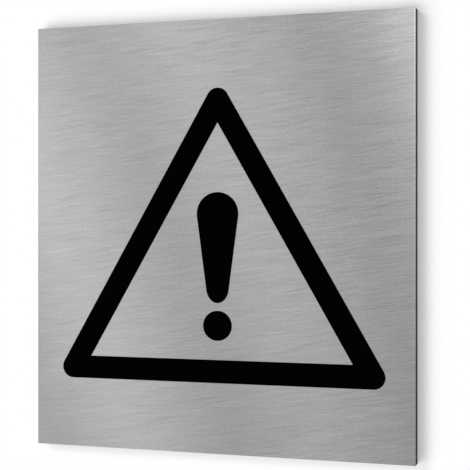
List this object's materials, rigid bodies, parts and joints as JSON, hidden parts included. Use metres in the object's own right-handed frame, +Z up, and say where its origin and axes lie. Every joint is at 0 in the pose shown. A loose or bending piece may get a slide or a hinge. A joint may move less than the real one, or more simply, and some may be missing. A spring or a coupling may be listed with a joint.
{
  "type": "hazard warning sign",
  "caption": "Small wall plaque of aluminium composite sheet with a black warning triangle and exclamation mark on its brushed front, stuck or taped up by its flat back.",
  "frame": {"origin": "middle of the back face, where the plaque is stuck to a wall", "axes": "+Z up the plaque, +Y into the wall, the front faces -Y, +X to the reader's right"},
  "size_m": [0.1, 0.0031, 0.11],
  "materials": {
    "brushed_skin": "brushed nearly across, satin",
    "plain_skin": "plain mill finish",
    "core_plastic": "black polyethylene, as cut",
    "black_film": "black cut vinyl film, matt"
  },
  "bodies": {
    "root": {"front_skin": "brushed_skin", "core": "core_plastic", "back_skin": "plain_skin", "triangle_border": "black_film", "exclamation_stroke": "black_film", "exclamation_dot": "black_film"}
  },
  "joints": []
}
